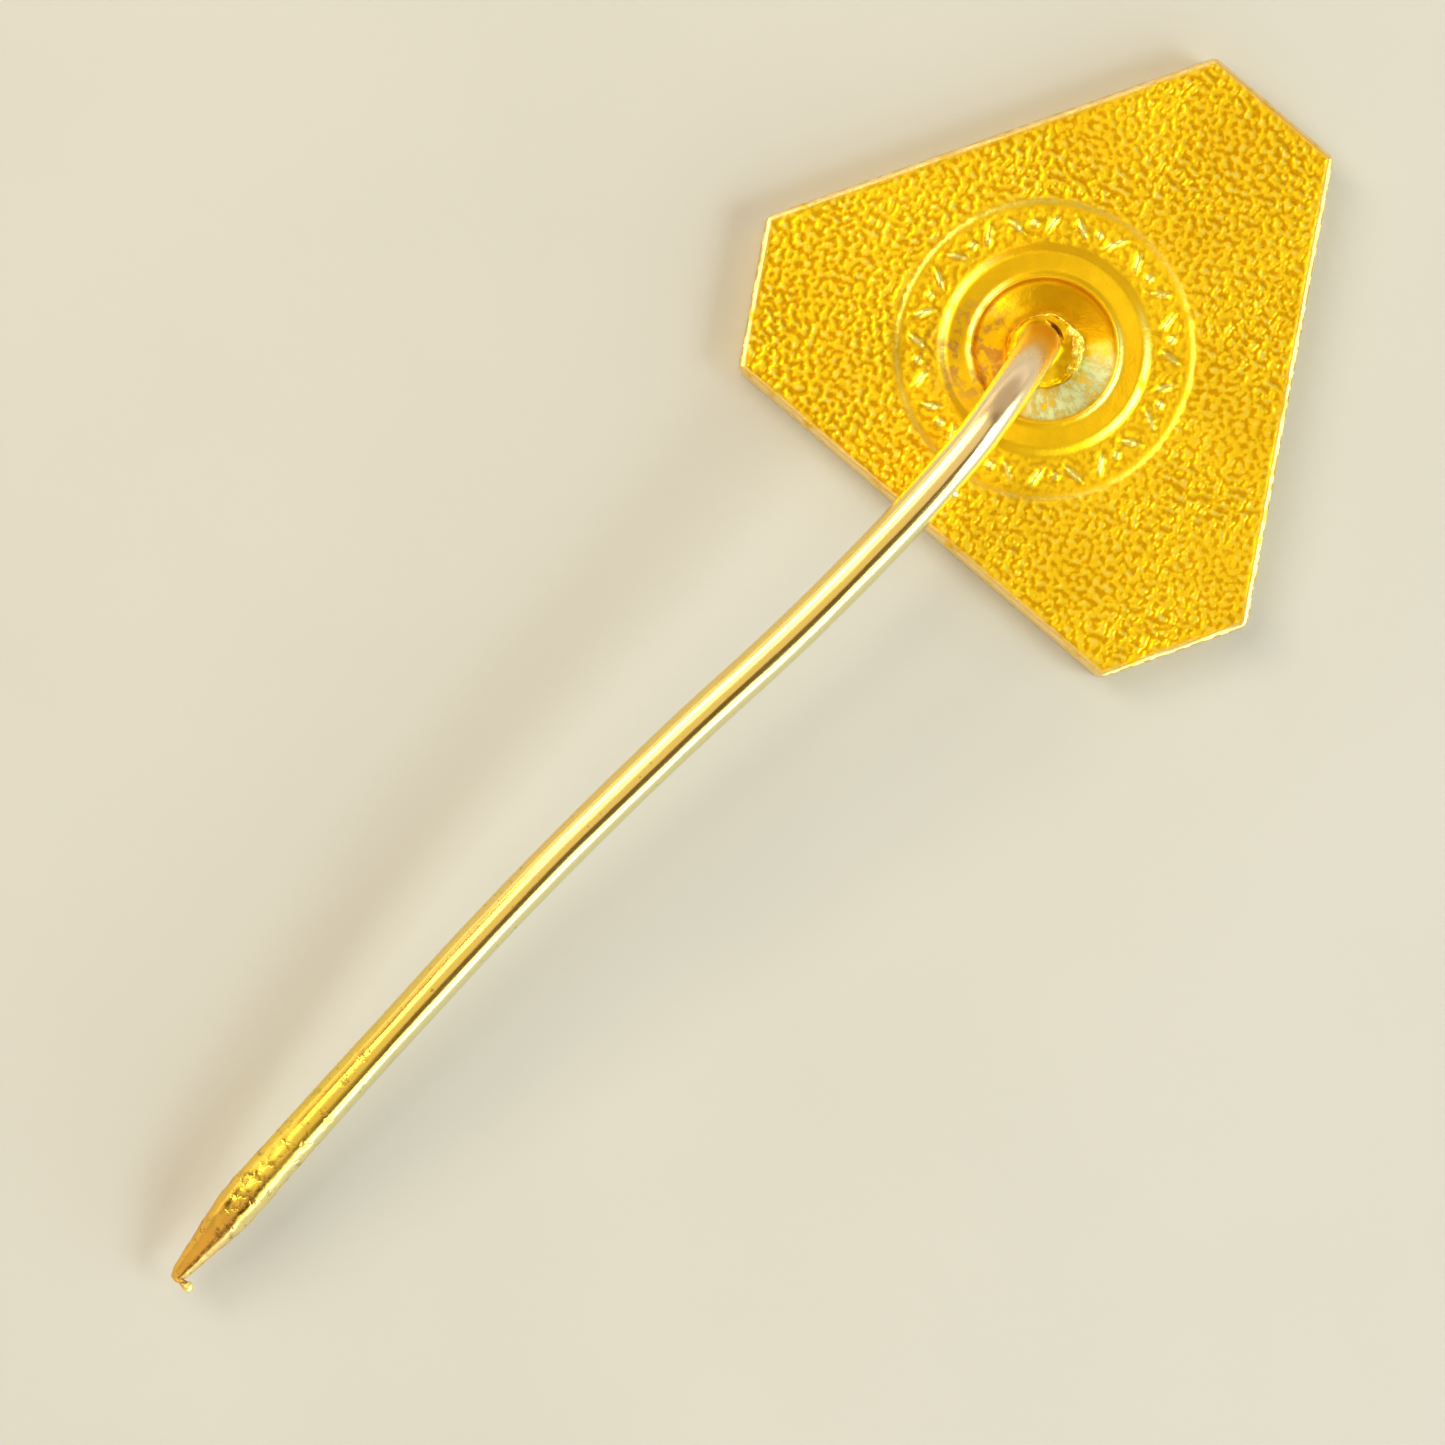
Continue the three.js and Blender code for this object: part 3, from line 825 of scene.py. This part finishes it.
WIRE_SIDES = 56
WIRE_RINGS = 1300
CLOSER_TO_POINT = 1.25

# A small drop of solder splashed on the wire's side
SPLASH_AT = np.array([-0.18, -5.8])
SPLASH_SIDE = math.pi + 0.35
SPLASH_RADIUS = 0.11

# Half width of the wire against distance back from the point
POINT_SHAPE = [
    (0.0, 0.19),
    (0.1, 0.24),
    (0.3, 0.29),
    (0.7, 0.345),
    (1.1, 0.4),
    (1.7, 0.5),
    (2.3, 0.595),
    (2.7, 0.63),
    (3.5, 0.65),
    (4.6, 0.615),
    (6.0, 0.6),
]

# A curl of metal left on the point by the grinding, ending in a bead
TIP_HOOK = [(-2.20, -38.56, 1.10), (-2.08, -38.57, 1.09), (-1.97, -38.58, 1.08), (-1.88, -38.58, 1.08),
            (-1.78, -38.57, 1.07), (-1.69, -38.56, 1.07), (-1.65, -38.55, 1.07)]
TIP_HOOK_WIDTHS = [0.14, 0.1, 0.11, 0.155, 0.16, 0.1, 0.01]
HOOK_STEPS = 9

# Lumps of the worn wire, as length, number of waves and seed
LUMPS = (0.5, 40, 41)
LONG_LUMPS = (0.9, 30, 42)
LUMPS_FADE = (1.5, 8.0)

# One side of the point is ground flatter
GROUND_DEPTH = 0.06
GROUND_SIDE = 0.9
GROUND_FADE = (2.2, 3.2)


def centripetal_curve(stations, steps):
    """A smooth curve through the stations, with knots spaced by the root of their distances."""
    stations = np.asarray(stations, float)
    first = 2 * stations[0] - stations[1]
    last = 2 * stations[-1] - stations[-2]
    full = np.vstack([first, stations, last])
    made = []
    for a, b, c, d in zip(full, full[1:], full[2:], full[3:]):
        one, two, three = (np.linalg.norm(q - p) ** 0.5 for p, q in ((a, b), (b, c), (c, d)))
        leave = ((b - a) / one - (c - a) / (one + two) + (c - b) / two) * two
        arrive = ((c - b) / two - (d - b) / (two + three) + (d - c) / three) * two
        for t in np.linspace(0, 1, steps, endpoint=False):
            made.append(b + leave * t + (3 * (c - b) - 2 * leave - arrive) * t ** 2
                        + (2 * (b - c) + leave + arrive) * t ** 3)
    made.append(stations[-1])
    return np.array(made)


def wire_centreline():
    """The wire's middle line from its foot to its point, and how far each place is from the point."""
    stations = [(ROOT[0], ROOT[1], FOOT_START)]
    for step in range(BEND_STEPS + 1):
        turn = math.pi / 2 * step / BEND_STEPS
        heading = HEADINGS[0] + (HEADINGS[1] - HEADINGS[0]) * step / BEND_STEPS
        reach = BEND_RADIUS * (1 - math.cos(turn))
        stations.append((ROOT[0] + reach * math.sin(heading), ROOT[1] - reach * math.cos(heading),
                         BEND_START + BEND_RADIUS * math.sin(turn)))
    line = centripetal_curve(stations + RUN, 60)
    along = np.concatenate([[0], np.cumsum(np.linalg.norm(np.diff(line, axis=0), axis=1))])
    places = along[-1] * (1 - (1 - np.linspace(0, 1, WIRE_RINGS)) ** CLOSER_TO_POINT)
    spaced = np.column_stack([np.interp(places, along, line[:, axis]) for axis in range(3)])
    return spaced, along[-1] - places


def sweep(line, sides):
    """Directions across a line, carried along it without twisting, for a tube of so many sides."""
    ways = np.gradient(line, axis=0)
    ways /= np.linalg.norm(ways, axis=1)[:, None]
    across = np.cross(ways[0], (0, 1, 0))
    spokes = []
    angles = np.linspace(0, 2 * math.pi, sides, endpoint=False)
    for way in ways:
        across = across - way * (across @ way)
        across /= np.linalg.norm(across)
        up = np.cross(way, across)
        spokes.append(np.outer(np.cos(angles), across) + np.outer(np.sin(angles), up))
    return np.array(spokes)


def waves3(x, y, z, length, count, seed):
    """Wandering ridges like those of waves, but through space."""
    draw = np.random.default_rng(seed)
    total = np.zeros_like(x)
    for _ in range(count):
        way = draw.normal(0, 1, 3)
        way *= 2 * math.pi / (np.linalg.norm(way) * length * draw.uniform(0.7, 1.4))
        total += np.cos(x * way[0] + y * way[1] + z * way[2] + draw.uniform(0, 2 * math.pi))
    return total / math.sqrt(count / 2)


def build_needle():
    line, from_tip = wire_centreline()
    splash_back = from_tip[np.hypot(*(line[:, :2] - SPLASH_AT).T).argmin()]
    widths = np.interp(from_tip, *zip(*POINT_SHAPE)) * (1 + FOOT_SWELL * near(from_tip, FOOT_SWELL_AT, 1.3))
    hook = centripetal_curve([tuple(line[-1]), *TIP_HOOK], HOOK_STEPS)[1:]
    hook_widths = [(width, index, 0) for index, width in enumerate([widths[-1], *TIP_HOOK_WIDTHS])]
    widths = np.concatenate([widths, centripetal_curve(hook_widths, HOOK_STEPS)[1:, 0]])
    line = np.vstack([line, hook])
    spokes = sweep(line, WIRE_SIDES)

    around = np.linspace(0, 2 * math.pi, WIRE_SIDES, endpoint=False)
    back = np.concatenate([from_tip, np.linspace(0, -1, len(hook))])[:, None] + 0 * around[None, :]
    across, lift = [WIRE_RADIUS * way(around)[None, :] + 0 * back for way in (np.cos, np.sin)]
    lumps = waves3(across, lift, back, *LUMPS)
    long_lumps = waves3(across, lift, back * 0.25, *LONG_LUMPS)
    worn = 1 - smooth_step(*LUMPS_FADE, back)
    swell = 1 + 0.004 * long_lumps + worn * (0.010 * lumps + 0.012 * long_lumps)
    ground = GROUND_DEPTH * np.maximum(np.cos(around - GROUND_SIDE), 0)[None, :]
    ground = ground * (1 - smooth_step(*GROUND_FADE, back))
    off = np.hypot(back - splash_back, WIRE_RADIUS * (around - SPLASH_SIDE)[None, :])
    splash = np.sqrt(np.maximum(SPLASH_RADIUS ** 2 - off ** 2, 0))
    points = line[:, None, :] + spokes * (widths[:, None] * (swell - ground) + splash)[:, :, None]
    rings = [np.arange(WIRE_SIDES) + ring * WIRE_SIDES for ring in range(len(line))]
    faces = [rings[0][::-1], rings[-1]]
    faces += [face for a, b in zip(rings, rings[1:]) for face in strip(a, b)]
    values = {"from_tip": back.ravel(), "round": across.ravel(), "lift": lift.ravel()}
    return points.reshape(-1, 3), faces, values


WIRE_GOLD = (0.93, 0.69, 0.22, 1)
WIRE_BEND_REFLECTION = (0.93, 0.74, 0.50, 1)
WIRE_SIDE_SHEEN = (0.84, 0.79, 0.44, 1)
WIRE_FOOT_REFLECTION = (0.95, 0.62, 0.12, 1)
WIRE_FLANK_REFLECTION = (1.0, 0.97, 0.45, 1)
WIRE_YELLOW = (0.98, 0.70, 0.10, 1)
WIRE_WORN = (0.92, 0.50, 0.085, 1)
WIRE_DARK = (0.28, 0.12, 0.02, 1)
WIRE_FRESH_GLINT = (1.0, 0.88, 0.34, 1)

# Where each look fades in or out along the wire, in millimetres back from the point
BEND_REFLECTION_FADE = (30.0, 39.0)
FOOT_REFLECTION_FADE = (37.2, 39.0)
FLANK_REFLECTION_FADE = (31.0, 35.0)
BEND_FADE = (33.0, 39.0)
SIDE_SHEEN_FADE = (31.0, 37.0)
FRECKLES_FADE = (18.0, 30.0)
YELLOW_FADE = (5.0, 18.0)
PITS_FADE = (2.0, 12.0)
WORN_FADE = (2.0, 9.0)
TIP_STREAK_FADE = (2.5, 7.0)
POINT_FADE = (1.6, 4.2)
CURL_FADE = (-0.7, -0.3)


def gilt_wire_material():
    material, tree = new_material("gilt_wire")
    place = place_of(tree)
    back, across, lift = mesh_values(tree, "from_tip", "round", "lift")
    drawn = join(tree, across * MM, lift * MM, back * 0.04 * MM)
    lines = noise(tree, drawn, 0.09, 3.0, 0.6)
    fine = noise(tree, place, 0.12, 4.0, 0.65)
    cloud = noise(tree, place, 1.6, 3.0)

    # The gilding, yellower towards the point, with painted reflections near the bend: pale over the bend,
    # orange gold at the foot and pale yellow on both flanks
    colour = blend(tree, ramp(tree, back, *BEND_REFLECTION_FADE), WIRE_GOLD, WIRE_BEND_REFLECTION)
    colour = blend(tree, ramp(tree, back, *FOOT_REFLECTION_FADE), colour, WIRE_FOOT_REFLECTION)
    flank_reflection = ramp(tree, across * across, 0.2, 0.32) * ramp(tree, back, *FLANK_REFLECTION_FADE)
    colour = blend(tree, flank_reflection, colour, WIRE_FLANK_REFLECTION)
    colour = blend(tree, fade(tree, back, *YELLOW_FADE), colour, WIRE_YELLOW)
    colour = blend(tree, fade(tree, back, *POINT_FADE) * (0.55 + 0.6 * cloud), colour, WIRE_WORN)
    worn = fade(tree, back, *WORN_FADE) * ramp(tree, cloud, 0.2, 0.5)
    # Painted sheen: pale greenish gold along one side, tinting what that side mirrors into a pale band
    side_sheen = fade(tree, across, -0.42, -0.1) * fade(tree, back, *SIDE_SHEEN_FADE) * ramp(tree, cloud, 0.2, 0.4)
    colour = blend(tree, side_sheen * (1 - 0.45 * worn), colour, WIRE_SIDE_SHEEN)

    # A painted dark reflection line by the point, the fresh metal of the curl, partly a painted glint, and
    # wear: pits and freckles
    tip_dark_streak = plateau(tree, across, (-0.3, -0.2), (-0.15, 0.0)) * fade(tree, back, *TIP_STREAK_FADE)
    colour = blend(tree, tip_dark_streak * ramp(tree, fine, 0.3, 0.55) * 0.85, colour, WIRE_DARK)
    # The curl pale as fresh metal, partly a painted glint
    colour = blend(tree, fade(tree, back, *CURL_FADE), colour, WIRE_FRESH_GLINT)
    pits = ramp(tree, noise(tree, place, 0.42, 3.0, 0.6), 0.54, 0.72) * fade(tree, back, *PITS_FADE)
    freckles = ramp(tree, noise(tree, place, 0.16, 2.0, 0.6), 0.66, 0.72) * fade(tree, back, *FRECKLES_FADE)
    colour = blend(tree, (pits + freckles * 0.7) * 0.75, colour, WIRE_DARK)

    rough = 0.11 + 0.07 * cloud + 0.05 * lines + 0.2 * worn + 0.12 * fine * worn
    rough = rough + 0.13 * ramp(tree, back, *BEND_FADE)
    relief = bump(tree, lines, 0.0025)
    relief = bump(tree, fine, 0.0015, relief)
    relief = bump(tree, pits, -0.02, relief)
    finish_surface(tree, Base_Color=colour, Metallic=1.0, Roughness=rough, Normal=relief)
    return material


needle_points, needle_faces, needle_values = build_needle()
needle = mesh_piece("needle_wire", needle_points, needle_faces, gilt_wire_material(), needle_values)
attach(needle, "root")
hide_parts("needle")


# ---------------------------------------------------------------------------------------------
# Enamel. Stoved enamel, run into the cells of the front and baked hard nearly level with the metal:
# three wide panels, three narrow corner fields and a ring round the medallion. Blue, white and red.

ENAMEL_DROP = 0.04
ENAMEL_CLIMB = 0.015
ENAMEL_FIT = 0.004
ENAMEL_STEPS = ((ENAMEL_FIT, CELL_DEPTH - 0.01), (ENAMEL_FIT, ENAMEL_DROP - ENAMEL_CLIMB),
                (0.03, ENAMEL_DROP - 0.006), (0.08, ENAMEL_DROP), (0.3, ENAMEL_DROP + 0.002))
ENAMEL_RING_SIDES = 160
DUST = (0.12, 0.10, 0.08, 1)


def enamel_material(name, deep, pale):
    material, tree = new_material(name)
    place = place_of(tree)
    cloud = noise(tree, place, 1.8, 4.0, 0.6)
    fine = noise(tree, place, 0.25, 3.0, 0.6)
    specks = ramp(tree, noise(tree, place, 0.12, 1.0), 0.7, 0.76)
    colour = blend(tree, ramp(tree, cloud, 0.3, 0.7), deep, pale)
    colour = blend(tree, specks * 0.5, colour, DUST)
    relief = bump(tree, fine, 0.002)
    relief = bump(tree, specks, -0.008, relief)
    finish_surface(tree, Base_Color=colour, Roughness=0.08 + 0.14 * cloud, Coat_Weight=0.4,
                   Coat_Roughness=0.05, Normal=relief)
    return material


def stack(loops):
    """Points and rings of indices for level loops of the same number of points, with their levels."""
    points = np.vstack([np.column_stack([loop, np.full(len(loop), level)]) for loop, level in loops])
    count = len(loops[0][0])
    return points, [np.arange(count) + ring * count for ring in range(len(loops))]


def enamel_field(side):
    points, rings = stack([(side_cell_outline(side, inset), level) for inset, level in ENAMEL_STEPS])
    faces = [rings[0], rings[-1][::-1]]
    faces += [face for a, b in zip(rings, rings[1:]) for face in strip(a, b, -1)]
    return points, faces


def enamel_band():
    outer = [(circle(RING_CELL_OUT - inset, ENAMEL_RING_SIDES), level) for inset, level in ENAMEL_STEPS]
    inner = [(circle(MEDALLION_OUT + inset, ENAMEL_RING_SIDES), level) for inset, level in ENAMEL_STEPS]
    points, rings = stack(outer + inner[::-1])
    return points, [face for a, b in zip(rings, rings[1:] + rings[:1]) for face in strip(a, b, -1)]


blue = enamel_material("enamel_blue", (0.010, 0.030, 0.16, 1), (0.016, 0.055, 0.26, 1))
white = enamel_material("enamel_white", (0.66, 0.64, 0.58, 1), (0.78, 0.77, 0.73, 1))
red = enamel_material("enamel_red", (0.30, 0.006, 0.010, 1), (0.46, 0.014, 0.018, 1))

# The side cells, in the order of the plate's sides
FIELDS = ["enamel_bottom_panel", "enamel_right_corner", "enamel_right_panel",
          "enamel_top_corner", "enamel_left_panel", "enamel_left_corner"]
for side, node in enumerate(FIELDS):
    field_points, field_faces = enamel_field(side)
    paint, slot = (white, "enamel_white") if side % 2 else (blue, "enamel_blue")
    field_piece = mesh_piece(node.replace("enamel", "baked"), field_points, field_faces, paint)
    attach(field_piece, "root")
    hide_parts(node)

band_points, band_faces = enamel_band()
band = mesh_piece("baked_ring", band_points, band_faces, red)
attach(band, "root")
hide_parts("enamel_ring")


# ---------------------------------------------------------------------------------------------
# Floor. A plain pale board, a little cloudy, cut round. The pin lies on it face down, with a hair's
# breadth between the two.

FLOOR_REACH = 320
FLOOR_DROP = 0.02
FLOOR_SIDES = 96
FLOOR_GREY = (0.54, 0.54, 0.535, 1)
FLOOR_PALE = (0.58, 0.58, 0.575, 1)


def floor_material():
    material, tree = new_material("pale_floor")
    cloud = noise(tree, place_of(tree), 12.0, 3.0)
    finish_surface(tree, Base_Color=blend(tree, cloud, FLOOR_GREY, FLOOR_PALE), Roughness=0.9)
    return material


floor_rim = circle(FLOOR_REACH, FLOOR_SIDES)
floor_points = np.column_stack([floor_rim, np.full(len(floor_rim), -FLOOR_DROP)])
floor = mesh_piece("floor", floor_points, [range(len(floor_rim))], floor_material())


# ---------------------------------------------------------------------------------------------
# Light and camera. Soft boxes stand round the pin: warm ones at the upper left and overhead, cool ones on
# the right, and weaker warm ones at the top and the lower left. The camera looks straight down.

VIEW_TURN = math.radians(40.5)
VIEW_WIDTH = 43.4
AIM = Vector((-0.62, -15.23, BACK))
CAMERA_HEIGHT = 110
SENSOR_WIDTH = 36
WALL_GLOW = (1.0, 0.955, 0.86, 1)
HIGH_GLOW = (1.0, 0.68, 0.40, 1)


def soft_box(name, heading, rise, distance, size, power, colour):
    """An area light. Its heading is in degrees anticlockwise from the right of the view."""
    lamp = bpy.data.lights.new(name, "AREA")
    lamp.shape = "RECTANGLE"
    lamp.size, lamp.size_y = size[0] * MM, size[1] * MM
    lamp.energy = power
    lamp.color = colour
    box = bpy.data.objects.new(name, lamp)
    turn, lift = math.radians(heading) + VIEW_TURN, math.radians(rise)
    back = Vector((math.cos(turn) * math.cos(lift), math.sin(turn) * math.cos(lift), math.sin(lift)))
    box.location = (AIM + back * distance) * MM
    box.rotation_euler = back.to_track_quat("Z", "Y").to_euler()
    bpy.context.scene.collection.objects.link(box)


soft_box("warm_key", 140, 37, 300, (120, 90), 0.27, (1.0, 0.87, 0.60))
soft_box("warm_box", 142, 56, 260, (230, 105), 0.24, (1.0, 0.91, 0.66))
soft_box("warm_tent", 140, 84, 330, (360, 300), 0.25, (1.0, 0.91, 0.62))
soft_box("warm_fill", 140, 20, 300, (380, 150), 0.12, (1.0, 0.84, 0.60))
soft_box("cool_key", -18, 41, 300, (110, 90), 0.28, (0.92, 1.0, 0.96))
soft_box("cool_box", -38, 23, 260, (480, 170), 0.62, (0.88, 1.0, 0.94))
soft_box("back_box", 66, 32, 300, (500, 270), 0.17, (1.0, 0.90, 0.82))
soft_box("low_fill", -128, 34, 300, (330, 300), 0.16, (1.0, 0.80, 0.64))

# The room: pale walls low down all round, warm and dim above
room = bpy.data.worlds.new("studio")
room.use_nodes = True
room_tree = room.node_tree
room_tree.nodes.clear()
rise = apart(room_tree, add_node(room_tree, "ShaderNodeTexCoord", output="Generated"))[2]
low = add_node(room_tree, "ShaderNodeBackground", {}, {"Color": WALL_GLOW, "Strength": 0.68})
high = add_node(room_tree, "ShaderNodeBackground", {}, {"Color": HIGH_GLOW, "Strength": 0.15})
lit = add_node(room_tree, "ShaderNodeMixShader", {}, {0: ramp(room_tree, rise, 0.2, 0.42), 1: low, 2: high})
room_tree.links.new(lit.socket, room_tree.nodes.new("ShaderNodeOutputWorld").inputs["Surface"])
bpy.context.scene.world = room
bpy.context.scene.view_settings.view_transform = "Standard"

lens = bpy.data.cameras.new("camera")
lens.sensor_width = SENSOR_WIDTH
lens.lens = SENSOR_WIDTH * CAMERA_HEIGHT / VIEW_WIDTH
lens.clip_start = 1 * MM
lens.clip_end = 10
camera = bpy.data.objects.new("camera", lens)
camera.location = (AIM + Vector((0, 0, CAMERA_HEIGHT))) * MM
camera.rotation_euler = (0, 0, VIEW_TURN)
bpy.context.scene.collection.objects.link(camera)
bpy.context.scene.camera = camera
